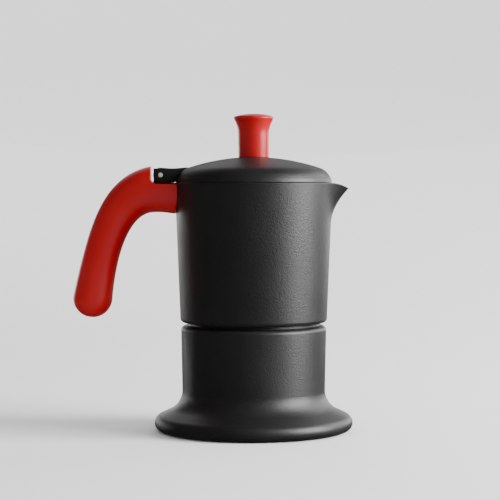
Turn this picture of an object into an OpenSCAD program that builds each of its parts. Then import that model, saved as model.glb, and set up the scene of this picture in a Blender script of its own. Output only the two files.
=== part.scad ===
// Moka pot: a three-chamber stovetop coffee maker, taken apart into its real pieces.
// Axis of the pot is Z, the pot stands on Z = 0, the spout points to +X and the handle to -X.
// All sizes are in millimetres.

/* [Boiler] */
// Diameter of the flared foot at its widest corner, before rounding
foot_d = 115.5; // [104:0.5:140]
// Diameter of the foot where it meets the floor, before rounding
foot_base_d = 110.8; // [98:0.2:134]
// Height of the foot's widest corner
foot_h = 7.2; // [6:0.1:10]
// Diameter of the boiler's wall where the flare runs into it
waist_d = 81.2; // [66:0.2:98]
// Height at which the flare's slope would meet the wall
waist_h = 15.3; // [13:0.1:20]
// Diameter of the boiler's wall at its shoulder
shoulder_d = 82.9; // [68:0.1:100]
// Height of the shoulder
shoulder_h = 60; // [48:0.5:80]
// Thickness of the boiler's wall
boiler_wall = 2.8; // [2:0.1:4]
// Thickness of the disc that closes the foot
base_disc_t = 4.5; // [3:0.1:6]
// How far the shell's rim stays above the surface that the disc stands on
rim_lift = 0.4; // [0.2:0.1:1]

/* [Thread and seal] */
// Height of the boiler's threaded neck above the shoulder
neck_h = 11; // [9:0.5:14]
// Wall of the neck under the thread
neck_wall = 3.2; // [2.4:0.1:4]
// Wall of the collector's skirt outside the thread
skirt_wall = 2.8; // [2:0.1:4]
// Rise of the thread in one turn
thread_pitch = 3; // [2:0.25:4]
// Height of the thread's ridge
thread_depth = 1; // [0.6:0.1:1.4]
// Turns of thread
thread_turns = 2.25; // [1.5:0.25:2.75]
// Radial clearance between the two threads' crests
thread_gap = 0.2; // [0.1:0.05:0.4]
// Thickness of the gasket when the pot is screwed shut
gasket_t = 3.2; // [2.4:0.1:4]
// Radial width of the gasket
gasket_w = 7; // [5:0.2:9]

/* [Filter funnel] */
// Depth of the basket for the ground coffee
basket_depth = 18; // [14:0.5:24]
// Wall of the funnel, strainer and filter plate
sheet_t = 0.9; // [0.6:0.1:1.2]
// Outer diameter of the funnel's tube
tube_d = 10; // [8:0.5:14]
// Gap between the tube's end and the boiler's floor
tube_lift = 4.5; // [3:0.5:8]
// Diameter of a strainer hole
strainer_hole_d = 1.6; // [1:0.1:2]
// Diameter of a filter plate hole
filter_hole_d = 1.2; // [0.8:0.1:1.6]

/* [Collector] */
// Gap between the boiler's shoulder and the collector
seam_gap = 2; // [1:0.25:4]
// How far the collector's lower edge stands out past the shoulder
skirt_proud = 0.3; // [0:0.1:1]
// Height of the collector from its lower edge to its rim
collector_h = 79.5; // [66:0.5:100]
// Diameter of the collector at its rim
rim_d = 90; // [76:0.5:110]
// Thickness of the collector's wall
collector_wall = 2.4; // [1.8:0.1:3.2]
// How far the spout's tip stands out from the rim
spout_reach = 9.4; // [6:0.2:12]
// Height of the spout
spout_h = 23.5; // [18:0.5:28]
// Half the angle that the spout takes up at the rim
spout_half_angle = 30; // [22:1:36]
// How far the spout's tip lies below the rim
spout_dip = 3.2; // [1:0.2:5]
// Distance from the rim down to the top of the riser
riser_below_rim = 16; // [12:0.5:24]
// Outer diameter of the riser at its top
riser_top_d = 11.6; // [10:0.2:14]
// Outer diameter of the riser at its foot
riser_foot_d = 16; // [14:0.2:20]
// Bore of the riser
riser_bore_d = 7.2; // [6:0.2:8]

/* [Lid and knob] */
// How far the lid's edge stays inside the rim
lid_set_in = 0.5; // [0:0.1:1.5]
// Height of the lid's dome above its edge
dome_h = 14.3; // [11:0.1:18]
// Radius of the dome
dome_r = 118; // [105:1:150]
// Radius of the dome's rounded edge
dome_edge_r = 10; // [8:0.5:12]
// Thickness of the lid
lid_t = 1.8; // [1.4:0.1:2.4]
// Gap between lid and rim when the lid is down
lid_gap = 0.2; // [0.1:0.05:0.5]
// Diameter of the knob's stem at the lid
knob_d = 17.6; // [14:0.2:19]
// Diameter of the knob's flared top
knob_top_d = 22.8; // [21:0.2:28]
// Height of the knob
knob_h = 25; // [20:0.2:30]
// Height of the knob's crown above its lip
knob_crown = 1.3; // [0.4:0.1:2]

/* [Handle and hinge] */
// Distance from the rim out to the hinge pin
pin_out = 7.8; // [7.4:0.1:10]
// Height of the hinge pin above the rim
pin_up = 4.2; // [3.8:0.1:6]
// Diameter of the hinge pin
pin_d = 3.4; // [2.6:0.1:4]
// Width of the hinge lug between the lid's two ears
lug_w = 6; // [5:0.5:8]
// Thickness of one ear
ear_t = 2.3; // [1.8:0.1:3]
// Radial running clearance of the pin in the lug
pin_gap = 0.05; // [0.03:0.01:0.1]
// Thickness of the handle where it is gripped
grip_d = 22.4; // [19:0.2:26]
// Distance from the rim down to the middle of the handle's round end
handle_drop = 65.7; // [56:0.5:74]
// Distance from the pot's rim out to the middle of the handle's round end
handle_out = 46.8; // [40:0.2:56]

/* [Safety valve] */
// Height of the safety valve, which is also the highest water level
valve_h = 38; // [30:0.5:44]
// Width across the flats of the valve's hexagon
valve_af = 12; // [11:0.5:14]
// Travel of the valve's poppet
valve_travel = 1.2; // [0.8:0.1:1.6]

/* [Hidden] */
$fn = 96;

black = [0.08, 0.08, 0.085];
red = [0.72, 0.06, 0.05];
bare = [0.76, 0.77, 0.78];
steel = [0.66, 0.66, 0.67];
brass = [0.76, 0.60, 0.30];
silicone = [0.90, 0.89, 0.85];

eps = 0.5;             // how far a cutting tool runs past the surface that it cuts
fit_gap = 0.05;        // clearance of a pressed, riveted or screwed joint
slip_gap = 0.35;       // clearance of a piece that is put in by hand
arc_step = 5;          // largest angle between two points of a rounded corner

// Boiler
shoulder_r = shoulder_d / 2;
boiler_in_r = waist_d / 2 - boiler_wall;
foot_round = 3.8;
foot_top_round = 4.9;
flare_round = 11.9;
disc_seat = 1.5;                                   // ledge that the base disc butts against
disc_r = foot_base_d / 2 - 7.4;
flare_slope = (waist_h - foot_h) / (foot_d - waist_d) * 2;
cavity_top = shoulder_h - 3;

// Thread, neck and skirt
skirt_r = shoulder_r + skirt_proud;
groove_r = skirt_r - skirt_wall;                   // bottom of the collector's thread
collar_r = groove_r - thread_depth;                // crest of the collector's thread
crest_r = collar_r - thread_gap;                   // crest of the boiler's thread
core_r = crest_r - thread_depth;                   // foot of the boiler's thread
neck_in_r = core_r - neck_wall;
neck_top = shoulder_h + neck_h;

// Funnel, gasket and filter plate
flange_t = 1;
basket_r = neck_in_r - slip_gap;
flange_r = core_r - 0.5;
flange_top = neck_top + flange_t;
basket_floor = flange_top - basket_depth;
strainer_z = basket_floor - sheet_t;
cone_h = 12;
tube_r = tube_d / 2;
tube_end = base_disc_t + tube_lift;
seal_r = core_r - 0.3;                             // recess for the gasket and filter plate
gasket_out_r = seal_r - 0.1;
gasket_in_r = gasket_out_r - gasket_w;
plate_z = flange_top + gasket_t;
plate_r = seal_r - 1.5;
plate_rim_w = 4.6;
plate_rise = 2.2;
seat_z = plate_z + sheet_t;                        // face that the filter plate is held against

// Collector
skirt_z = shoulder_h + seam_gap;
rim_z = skirt_z + collector_h;
rim_r = rim_d / 2;
floor_t = 2.6;
dome_in_r = plate_r - plate_rim_w + 0.6;           // hollow under the floor, over the filter plate
dome_in_z = seat_z + plate_rise + 1.2;
dome_rise = 2.5;
floor_z = dome_in_z + floor_t;
boss_r = riser_foot_d / 2 + 2.5;
boss_top = dome_in_z + dome_rise + floor_t + 2;
riser_spigot_r = 5.5;
riser_foot_z = dome_in_z + dome_rise;
riser_top = rim_z - riser_below_rim;

// Lid, knob
lid_r = rim_r - lid_set_in;
lid_z = rim_z + lid_gap;
dome_top = lid_z + dome_h;
dome_c = dome_top - dome_r;
lid_skirt_r = rim_r - collector_wall - 0.8;
lid_skirt_h = 3;
lid_skirt_t = 1.4;
knob_r = knob_d / 2;
knob_seat = dome_top - 0.4;
knob_top = knob_seat + knob_h;
knob_flare_r = 17.5;
knob_lip_round = 1.2;
knob_taper = 0.2;
screw_r = 2;
knob_screw_len = 14;
washer_r = 5;
washer_t = 0.8;

// Hinge
pin_x = -(rim_r + pin_out);
pin_z = rim_z + pin_up;
pin_r = pin_d / 2;
ear_r = 4.3;
ear_gap = 0.2;
ear_in = lug_w / 2 + ear_gap;
ear_out = ear_in + ear_t;
lug_back = pin_x - 4.1;
lug_front = pin_x + 5.9;
arm_drop = 4.4;                                    // underside of the lid's arm below the pin
web_x = pin_x + 7.5;

// Handle
land_z = pin_z - arm_drop - 0.6;                   // flat under the hinge
step_x = lug_back - 1.5;                           // wall of the notch behind the hinge
grip_r = grip_d / 2;
handle_root = [-(rim_r - 0.5), rim_z - 4.3];
handle_bend_1 = [-(rim_r + 23.8), rim_z - 0.2];
handle_bend_2 = [-(rim_r + handle_out - 8.2), rim_z - 12.6];
handle_tip = [-(rim_r + handle_out), rim_z - handle_drop];
handle_radii = [grip_r + 1.2, grip_r + 3.4, grip_r - 3.6, grip_r];
handle_gap = 0.3;
tang_w = 6;
tang_h = 8;
tang_z = rim_z - 7;                                // middle of the tang
tang_end = step_x - 10;
pad_w = 18;
pad_h = 8;
pad_t = 2.6;
pad_back = max(rim_r, wall_r(tang_z)) + pad_t;       // the pad covers the rivets outside the wall
pocket_gap = 0.25;
rivet_r = 1.75;
rivet_angle = 8;
rivet_head_r = 2.9;
rivet_head_h = 1.3;
handle_screw_x = tang_end + 5;
handle_screw_r = 1.5;
handle_screw_head_r = 3;

// Safety valve, on the +Y side
valve_wall = waist_d / 2 + (shoulder_d - waist_d) / 2 * (valve_h - waist_h) / (shoulder_h - waist_h);
valve_boss_r = valve_af / 2 + 1.6;
valve_face = valve_wall + 0.9;
valve_seal_t = 0.6;
valve_hex_t = 4.4;
valve_shank_r = 4.4;
valve_in = valve_wall - boiler_wall - 2.4;
valve_out = valve_face + valve_seal_t + valve_hex_t;
valve_orifice_r = 1.6;
valve_bore_r = 2.9;
valve_seat = valve_in + 2;
valve_cap_t = 1;
valve_head_t = 1.6;
valve_stem_r = 1;
valve_stem_out = valve_travel + 2;

// ---- Shared geometry ----

function unit(v) = v / norm(v);

// A corner at p between a and b, rounded to radius r
function corner(a, p, b, r) =
    r == 0 ? [p] :
    let (u = unit(a - p), v = unit(b - p), half = acos(u * v) / 2,
        c = p + unit(u + v) * r / sin(half),
        s = p + u * r / tan(half) - c, e = p + v * r / tan(half) - c,
        from = atan2(s.y, s.x),
        turn = (atan2(e.y, e.x) - from + 540) % 360 - 180,
        n = max(1, ceil(abs(turn) / arc_step)))
    [for (i = [0 : n]) c + r * [cos(from + turn * i / n), sin(from + turn * i / n)]];

// A closed outline from corners given as [x, y, radius]
function rounded(pts) =
    let (n = len(pts), p = [for (q = pts) [q.x, q.y]])
    [for (i = [0 : n - 1]) each corner(p[(i + n - 1) % n], p[i], p[(i + 1) % n], pts[i].z)];

module turned(pts) {
    rotate_extrude() polygon(rounded(pts));
}

// Places a piece drawn along +Z so that it points along +Y from the pot's axis at height z
module facing_back(z) {
    translate([0, 0, z]) rotate([-90, 0, 0]) children();
}

// Places a piece drawn along +Z so that it points along +Y, centred on the hinge pin
module across_hinge() {
    translate([pin_x, 0, pin_z]) rotate([90, 0, 0]) children();
}

// Faces of a closed tube or bar of n rings with m points each
function ring_faces(n, m) = concat(
    [for (i = [0 : n - 2], j = [0 : m - 1])
        [i * m + j, i * m + (j + 1) % m, (i + 1) * m + (j + 1) % m, (i + 1) * m + j]],
    [[for (j = [m - 1 : -1 : 0]) j]],
    [[for (j = [0 : m - 1]) (n - 1) * m + j]]);

// A helical ridge or groove between two radii, fading out at both ends
module helix(foot_r, top_r, z0, turns, pitch, grow = 0) {
    steps = round(turns * 24);
    half_foot = pitch * 0.36 + grow;
    half_top = pitch * 0.13 + grow;
    pts = [for (i = [0 : steps])
        let (a = 15 * i, z = z0 + pitch * i / 24,
            fade = min(1, min(i, steps - i) / 6 + 0.1),
            r = foot_r + (top_r - foot_r) * fade)
        each [for (q = [[foot_r, -half_foot], [r, -half_top], [r, half_top], [foot_r, half_foot]])
            [q.x * cos(a), q.x * sin(a), z + q.y]]];
    polyhedron(pts, ring_faces(steps + 1, 4));
}

// Rings of round holes over a disc, each ring one hole pitch further out
module hole_field(hole_d, reach, gap, z0, h) {
    rings = floor((reach - hole_d) / gap);
    translate([0, 0, z0]) cylinder(d = hole_d, h = h, $fn = 24);
    for (k = [1 : rings], i = [0 : 6 * k - 1])
        rotate(60 * i / k) translate([k * gap, 0, z0]) cylinder(d = hole_d, h = h, $fn = 24);
}

// ---- Boiler ----

module boiler_outside() {
    turned([
        [0, rim_lift, 0],
        [foot_base_d / 2, rim_lift, foot_round],
        [foot_d / 2, foot_h, foot_top_round],
        [waist_d / 2, waist_h, flare_round],
        [shoulder_r, shoulder_h, 2.4],
        [core_r, shoulder_h, 0.6],
        [core_r, neck_top, 0.8],
        [0, neck_top, 0]]);
}

module boiler_cavity() {
    ledge = disc_r - disc_seat;
    slope_in = foot_h - 2.9 + (foot_d / 2 - 1.4 - ledge) * flare_slope;
    waist_in = foot_h - 2.9 + (foot_d / 2 - 1.4 - boiler_in_r) * flare_slope;
    turned([
        [0, -eps, 0],
        [disc_r + fit_gap, -eps, 0],
        [disc_r + fit_gap, base_disc_t, 0],
        [ledge, base_disc_t, 0],
        [ledge, slope_in, 2],
        [boiler_in_r, waist_in, flare_round - 3],
        [shoulder_r - boiler_wall, cavity_top, 2],
        [neck_in_r, cavity_top, 1],
        [neck_in_r, neck_top + eps, 0],
        [0, neck_top + eps, 0]]);
}

module boiler() {
    color(black) difference() {
        union() {
            boiler_outside();
            facing_back(valve_h)
                translate([0, 0, valve_wall - 3]) cylinder(r = valve_boss_r, h = valve_face - valve_wall + 3);
            helix(core_r - 1, crest_r, shoulder_h + 2.2, thread_turns, thread_pitch);
        }
        boiler_cavity();
        facing_back(valve_h) cylinder(r = valve_shank_r + fit_gap, h = valve_out);
    }
}

module base_disc() {
    color(bare) turned([
        [0, 0, 0],
        [disc_r, 0, 0.6],
        [disc_r, base_disc_t, 0],
        [0, base_disc_t, 0]]);
}

// ---- Safety valve ----

module valve_body() {
    color(brass) facing_back(valve_h) difference() {
        union() {
            translate([0, 0, valve_in]) cylinder(r = valve_shank_r, h = valve_out - valve_in);
            translate([0, 0, valve_face + valve_seal_t]) intersection() {
                cylinder(d = valve_af / cos(30), h = valve_hex_t, $fn = 6);
                cylinder(r1 = valve_af / 2 + 3.4, r2 = valve_af / 2 - 0.1, h = valve_hex_t);
            }
        }
        translate([0, 0, valve_in - eps]) cylinder(r = valve_orifice_r, h = valve_hex_t);
        translate([0, 0, valve_seat]) cylinder(r = valve_bore_r, h = valve_out);
    }
}

module valve_seal() {
    color(silicone) facing_back(valve_h) difference() {
        translate([0, 0, valve_face]) cylinder(r = valve_shank_r + 1.4, h = valve_seal_t);
        cylinder(r = valve_shank_r + fit_gap, h = valve_out);
    }
}

module valve_poppet() {
    color(steel) facing_back(valve_h) {
        translate([0, 0, valve_seat]) cylinder(r = valve_bore_r - 0.3, h = valve_head_t);
        translate([0, 0, valve_seat + valve_head_t - 0.1])
            cylinder(r = valve_stem_r, h = valve_out + valve_stem_out - valve_seat - valve_head_t + 0.1);
    }
}

module valve_spring() {
    wire_r = 0.3;
    coil_r = valve_bore_r - 0.8;
    from = valve_seat + valve_head_t + wire_r + 0.05;
    to = valve_out - valve_cap_t - wire_r - 0.05;
    turns = 6;
    steps = turns * 16;
    sides = 8;
    pts = [for (i = [0 : steps]) let (a = 22.5 * i, z = from + (to - from) * i / steps)
        each [for (j = [0 : sides - 1]) let (b = 45 * j, r = coil_r + wire_r * cos(b))
            [r * cos(a), r * sin(a), z + wire_r * sin(b)]]];
    color(steel) facing_back(valve_h)
        polyhedron(pts, ring_faces(steps + 1, sides));
}

module valve_cap() {
    color(brass) facing_back(valve_h) difference() {
        translate([0, 0, valve_out - valve_cap_t]) cylinder(r = valve_bore_r - fit_gap, h = valve_cap_t);
        cylinder(r = valve_stem_r + 0.2, h = 2 * valve_out);
    }
}

// ---- Filter funnel ----

module funnel() {
    cone_top = strainer_z - 0.1;
    color(bare) turned([
        [tube_r - sheet_t, tube_end, 0],
        [tube_r, tube_end, 0],
        [tube_r, cone_top - cone_h, 3],
        [basket_r, cone_top - sheet_t, 2],
        [basket_r, neck_top, 0.3],
        [flange_r, neck_top, 0],
        [flange_r, flange_top, 0.4],
        [basket_r - sheet_t, flange_top, 0.9],
        [basket_r - sheet_t, strainer_z, 0],
        [basket_r - sheet_t - 1.6, strainer_z, 0],
        [basket_r - sheet_t - 1.6, cone_top, 0],
        [tube_r - sheet_t, cone_top - cone_h + sheet_t, 2]]);
}

module funnel_strainer() {
    plate = basket_r - sheet_t - fit_gap;
    color(bare) difference() {
        translate([0, 0, strainer_z]) cylinder(r = plate, h = sheet_t);
        hole_field(strainer_hole_d, plate - 3, 4.2, strainer_z - eps, sheet_t + 2 * eps);
    }
}

module gasket() {
    color(silicone) turned([
        [gasket_in_r, flange_top, 0.5],
        [gasket_out_r, flange_top, 0.5],
        [gasket_out_r, plate_z, 0.5],
        [gasket_in_r, plate_z, 0.5]]);
}

module filter_plate() {
    bend = plate_r - plate_rim_w;
    color(bare) difference() {
        turned([
            [0, plate_z + plate_rise, 0],
            [bend - 1.8, plate_z + plate_rise, 0],
            [bend, plate_z, 0],
            [plate_r, plate_z, 0],
            [plate_r, plate_z + sheet_t, 0],
            [bend + 0.4, plate_z + sheet_t, 0],
            [bend - 1.4, plate_z + plate_rise + sheet_t, 0],
            [0, plate_z + plate_rise + sheet_t, 0]]);
        hole_field(filter_hole_d, bend - 3, 4.4, plate_z, plate_rise + 2 * sheet_t);
    }
}

// ---- Collector ----

function wall_r(z) = skirt_r + (rim_r - skirt_r) * (z - skirt_z) / collector_h;

// How far the spout stands out from the wall, at angle a and height fraction t
function spout_share(a) = pow(cos(90 * min(1, abs(a) / spout_half_angle)), 3);

// The spout, or the channel inside it when inset by the wall, as a grid of points
module spout_block(inset, over) {
    rows = 14;
    cols = 24;
    sink = 0.15;
    inner_r = skirt_r - collector_wall - 6;
    point = function (i, j)
        let (a = spout_half_angle * (2 * j / cols - 1), share = spout_share(a),
            t = i / rows, lip = spout_dip * share * share,
            z = rim_z - spout_h + (spout_h - (over > 0 ? 0 : lip)) * t + over * t,
            out = spout_reach * share * min(1, pow((z - rim_z + spout_h) / (spout_h - lip), 2)),
            r = wall_r(min(z, rim_z)) - inset - sink + out)
        [r * cos(a), r * sin(a), z];
    back = function (i, j)
        let (a = spout_half_angle * (2 * j / cols - 1),
            z = rim_z - spout_h + (spout_h + over) * i / rows)
        [inner_r * cos(a), inner_r * sin(a), z];
    w = cols + 1;
    n = (rows + 1) * w;
    pts = concat([for (i = [0 : rows], j = [0 : cols]) point(i, j)],
        [for (i = [0 : rows], j = [0 : cols]) back(i, j)]);
    // a cell of the grid, as two triangles
    quad = function (a, b, c, d) [[a, b, c], [a, c, d]];
    faces = concat(
        [for (i = [0 : rows - 1], j = [0 : cols - 1]) let (k = i * w + j)
            each quad(k, k + w, k + w + 1, k + 1)],
        [for (i = [0 : rows - 1], j = [0 : cols - 1]) let (k = n + i * w + j)
            each quad(k, k + 1, k + w + 1, k + w)],
        [for (j = [0 : cols - 1]) each quad(j, j + 1, n + j + 1, n + j)],
        [for (j = [0 : cols - 1]) let (k = rows * w + j) each quad(k, n + k, n + k + 1, k + 1)],
        [for (i = [0 : rows - 1]) let (k = i * w) each quad(k, n + k, n + k + w, k + w)],
        [for (i = [0 : rows - 1]) let (k = i * w + cols) each quad(k, k + w, n + k + w, n + k)]);
    polyhedron(pts, faces);
}

module collector_inside() {
    turned([
        [0, boss_top, 0],
        [boss_r - 1.5, boss_top, 0.8],
        [boss_r, floor_z, 2],
        [wall_r(floor_z) - collector_wall, floor_z, 5],
        [rim_r - collector_wall, rim_z, 0],
        [rim_r - collector_wall, rim_z + spout_h, 0],
        [0, rim_z + spout_h, 0]]);
}

module collector_underside() {
    turned([
        [0, skirt_z - eps, 0],
        [collar_r, skirt_z - eps, 0],
        [collar_r, neck_top, 0],
        [seal_r, neck_top + 0.6, 0],
        [seal_r, seat_z, 0.4],
        [dome_in_r, seat_z, 0.3],
        [dome_in_r, dome_in_z, 1.5],
        [riser_bore_d / 2, dome_in_z + dome_rise, 0],
        [0, dome_in_z + dome_rise, 0]]);
}

module collector() {
    color(black) difference() {
        union() {
            turned([
                [0, skirt_z, 0],
                [skirt_r, skirt_z, 2.2],
                [rim_r, rim_z, 0.6],
                [0, rim_z, 0]]);
            spout_block(0, 0);
        }
        collector_inside();
        spout_block(collector_wall, 2);
        collector_underside();
        helix(collar_r - 1, groove_r, skirt_z + 1.4, thread_turns, thread_pitch, 0.15);
        translate([0, 0, skirt_z]) cylinder(r = riser_spigot_r + fit_gap, h = rim_z);
        for (s = [-1, 1]) rivet_place(s) cylinder(r = rivet_r + fit_gap, h = 30, center = true);
    }
}

module riser_tube() {
    window_h = 5;
    color(bare) difference() {
        turned([
            [0, riser_foot_z, 0],
            [riser_spigot_r, riser_foot_z, 0.4],
            [riser_spigot_r, boss_top, 0],
            [riser_foot_d / 2, boss_top, 0.8],
            [riser_top_d / 2, riser_top, 0.5],
            [0, riser_top, 0]]);
        translate([0, 0, riser_foot_z - eps]) cylinder(d = riser_bore_d, h = riser_top);
        for (a = [45, 225]) rotate(a)
            translate([0, -2, riser_top - window_h]) cube([riser_top_d, 4, window_h + eps]);
    }
}

module riser_cap() {
    color(bare) difference() {
        turned([
            [0, riser_top - 3, 0],
            [riser_bore_d / 2 - fit_gap, riser_top - 3, 0.3],
            [riser_bore_d / 2 - fit_gap, riser_top, 0],
            [riser_top_d / 2 + 1.2, riser_top, 0.3],
            [riser_top_d / 2 + 1.2, riser_top + 1, 0.5],
            [0, riser_top + 2.4, 0]]);
        translate([0, 0, riser_top - 3 - eps]) cylinder(r = riser_bore_d / 2 - 1.4, h = 3);
    }
}

// ---- Handle ----

function bezier(p, t) = pow(1 - t, 3) * p[0] + 3 * t * pow(1 - t, 2) * p[1]
    + 3 * t * t * (1 - t) * p[2] + pow(t, 3) * p[3];
function bezier_way(p, t) = unit(pow(1 - t, 2) * (p[1] - p[0])
    + 2 * t * (1 - t) * (p[2] - p[1]) + t * t * (p[3] - p[2]));

// The grip's solid shape: round sections along a curve, closed by a round end
module handle_form() {
    line = [handle_root, handle_bend_1, handle_bend_2, handle_tip];
    rings = 30;
    cap = 8;
    sides = 32;
    at = function (i) i < 0 ? handle_root + [8, 0]
        : i <= rings ? bezier(line, i / rings)
        : handle_tip + bezier_way(line, 1) * grip_r * sin(90 * (i - rings) / (cap + 0.25));
    way = function (i) i < 0 ? [-1, 0] : bezier_way(line, min(1, i / rings));
    size = function (i) i < 0 ? handle_radii[0]
        : i <= rings ? bezier(handle_radii, i / rings)
        : grip_r * cos(90 * (i - rings) / (cap + 0.25));
    pts = [for (i = [-1 : rings + cap]) let (c = at(i), w = way(i), r = size(i))
        each [for (j = [0 : sides - 1]) let (a = 360 * j / sides, d = r * cos(a))
            [c.x - w.y * d, r * sin(a), c.y + w.x * d]]];
    polyhedron(pts, ring_faces(rings + cap + 2, sides));
}

// The bracket's shape, grown on all sides by gap to give the pocket in the handle
module bracket_form(gap) {
    translate([tang_end - gap, -tang_w / 2 - gap, tang_z - tang_h / 2 - gap])
        cube([-tang_end - rim_r + 4 + gap, tang_w + 2 * gap, tang_h + 2 * gap]);
    translate([-pad_back - gap, -pad_w / 2 - gap, tang_z - pad_h / 2 - gap])
        cube([pad_t + gap + 6, pad_w + 2 * gap, pad_h + 2 * gap]);
    translate([lug_back - gap, -lug_w / 2 - gap, tang_z])
        cube([lug_front - lug_back + 2 * gap, lug_w + 2 * gap, land_z - tang_z + eps]);
}

module wall_cut(gap) {
    translate([0, 0, skirt_z]) cylinder(r1 = skirt_r + gap, r2 = rim_r + gap, h = collector_h);
}

module handle() {
    color(red) difference() {
        handle_form();
        translate([step_x, -30, land_z]) cube([60, 60, 40]);
        wall_cut(handle_gap);
        bracket_form(pocket_gap);
        // the lug's slot is open to the pot, so that the handle slides on over the lug
        translate([lug_back, -lug_w / 2 - pocket_gap, tang_z])
            cube([40, lug_w + 2 * pocket_gap, land_z - tang_z + eps]);
        translate([handle_screw_x, 0, tang_z - 30]) {
            cylinder(r = handle_screw_r + 0.2, h = 30);
            cylinder(r = handle_screw_head_r + 0.4, h = 30 - tang_h / 2 - 3);
        }
    }
}

module handle_bracket() {
    color(black) difference() {
        union() {
            bracket_form(0);
            translate([lug_back, -lug_w / 2, tang_z])
                cube([lug_front - lug_back, lug_w, pin_z + 3.8 - tang_z]);
        }
        wall_cut(0.02);
        across_hinge() cylinder(r = pin_r + pin_gap, h = 20, center = true);
        translate([handle_screw_x, 0, tang_z - tang_h])
            cylinder(r = handle_screw_r + fit_gap, h = tang_h + 2);
        for (s = [-1, 1]) rivet_place(s) cylinder(r = rivet_r + fit_gap, h = 30, center = true);
    }
}

// Places a rivet drawn along +Z so that it points outwards through the wall beside the tang
module rivet_place(side) {
    rotate(180 + side * rivet_angle) translate([wall_r(tang_z), 0, tang_z]) rotate([0, 90, 0]) children();
}

module bracket_rivets() {
    color(steel) for (s = [-1, 1]) rivet_place(s) {
        translate([0, 0, -collector_wall - 0.2]) cylinder(r = rivet_r, h = collector_wall + pad_t + 0.6);
        translate([0, 0, -collector_wall - 0.2]) rotate([180, 0, 0])
            cylinder(r1 = rivet_head_r, r2 = rivet_head_r - 1.1, h = rivet_head_h);
    }
}

module handle_screw() {
    head_z = tang_z - tang_h / 2 - 3 - 0.1;
    color(steel) translate([handle_screw_x, 0, head_z]) difference() {
        union() {
            translate([0, 0, -1.8]) cylinder(r = handle_screw_head_r, h = 1.8);
            cylinder(r = handle_screw_r, h = 9);
        }
        translate([0, 0, -2.3]) cylinder(r = 1.2, h = 1.5, $fn = 6);
    }
}

module hinge_pin() {
    color(steel) across_hinge()
        cylinder(r = pin_r, h = 2 * ear_out + 0.4, center = true);
}

// ---- Lid and knob ----

// Outline of the lid's outer skin from the top of the dome to the edge, inset by t
function dome_line(t) =
    let (r = dome_r - t, e = dome_edge_r - t, cx = lid_r - dome_edge_r,
        cz = dome_c + sqrt(pow(dome_r - dome_edge_r, 2) - cx * cx),
        lean = asin(cx / (dome_r - dome_edge_r)),
        low = asin((lid_z - cz) / e))
    concat([for (i = [0 : 8]) let (a = lean * i / 8) [r * sin(a), dome_c + r * cos(a)]],
        [for (i = [1 : 14]) let (a = 90 - lean + (low - 90 + lean) * i / 14)
            [cx + e * cos(a), cz + e * sin(a)]]);

module dome_solid(t) {
    line = dome_line(t);
    rotate_extrude() polygon(concat([[0, lid_z - (t > 0 ? eps : 0)]], line,
        t > 0 ? [[line[len(line) - 1].x, lid_z - eps]] : []));
}

// Side view of the lid's arm: a round knuckle on the pin, running into the dome
module arm_side() {
    top = dome_top - 6.3;
    hull() {
        translate([pin_x, pin_z]) circle(r = ear_r, $fn = 48);
        translate([pin_x, pin_z - arm_drop]) square([web_x - pin_x, 2]);
        translate([web_x - 1, pin_z]) square([1, top - pin_z]);
    }
    polygon([[web_x - 1, pin_z - arm_drop], [web_x - 1, top], [pin_x + 15.6, top + 0.3],
        [pin_x + 17, top - 1], [pin_x + 17, lid_z + 2], [pin_x + 8.4, lid_z],
        [pin_x + 8.4, pin_z - arm_drop]]);
}

module lid() {
    color(black) difference() {
        union() {
            difference() {
                dome_solid(0);
                dome_solid(lid_t);
            }
            difference() {
                translate([0, ear_out, 0]) rotate([90, 0, 0]) linear_extrude(2 * ear_out) arm_side();
                dome_solid(lid_t);
                // room for the lug between the ears
                translate([lug_back - 3, -ear_in, rim_z - 20]) cube([web_x - lug_back + 3, 2 * ear_in, 60]);
                translate([0, 0, rim_z - 20]) cylinder(r = rim_r + 0.6, h = 20 + lid_gap);
            }
            difference() {
                translate([0, 0, lid_z - lid_skirt_h]) cylinder(r = lid_skirt_r, h = lid_skirt_h + 4);
                translate([0, 0, lid_z - lid_skirt_h - eps]) cylinder(r = lid_skirt_r - lid_skirt_t, h = 20);
                // the skirt is cut away over the spout, so that coffee can run out
                intersection() {
                    rotate(-spout_half_angle) cube([2 * rim_r, 2 * rim_r, 2 * rim_z]);
                    rotate(spout_half_angle - 90) cube([2 * rim_r, 2 * rim_r, 2 * rim_z]);
                }
            }
        }
        translate([0, 0, knob_seat]) cylinder(r = knob_r + 0.2, h = 10);
        translate([0, 0, lid_z]) cylinder(r = screw_r + 0.2, h = 30);
        across_hinge() cylinder(r = pin_r, h = 4 * ear_out, center = true);
    }
}

module knob() {
    // the flare's arc and the lip's small rounding meet where their slopes agree
    waist_r = knob_r + knob_taper;
    lip_r = knob_top_d / 2 - knob_lip_round;
    lip_z = knob_top - knob_crown - knob_lip_round;
    arcs_r = knob_flare_r + knob_lip_round;
    sweep = acos(1 - (lip_r + knob_lip_round - waist_r) / arcs_r);
    flare_z = lip_z - arcs_r * sin(sweep);
    outline = concat(
        [[screw_r - 0.2, knob_seat], [knob_r, knob_seat]],
        [for (i = [0 : 10]) let (a = sweep * i / 10)
            [waist_r + knob_flare_r * (1 - cos(a)), flare_z + knob_flare_r * sin(a)]],
        [for (i = [1 : 6]) let (a = (76 + sweep) * i / 6 - sweep)
            [lip_r + knob_lip_round * cos(a), lip_z + knob_lip_round * sin(a)]],
        [for (i = [1 : 6]) [lip_r * (1 - i / 6), knob_top - knob_crown * pow(1 - i / 6, 2)]],
        [[0, knob_seat + knob_screw_len - 2], [screw_r - 0.2, knob_seat + knob_screw_len - 2]]);
    color(red) rotate_extrude() polygon(outline);
}

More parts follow.
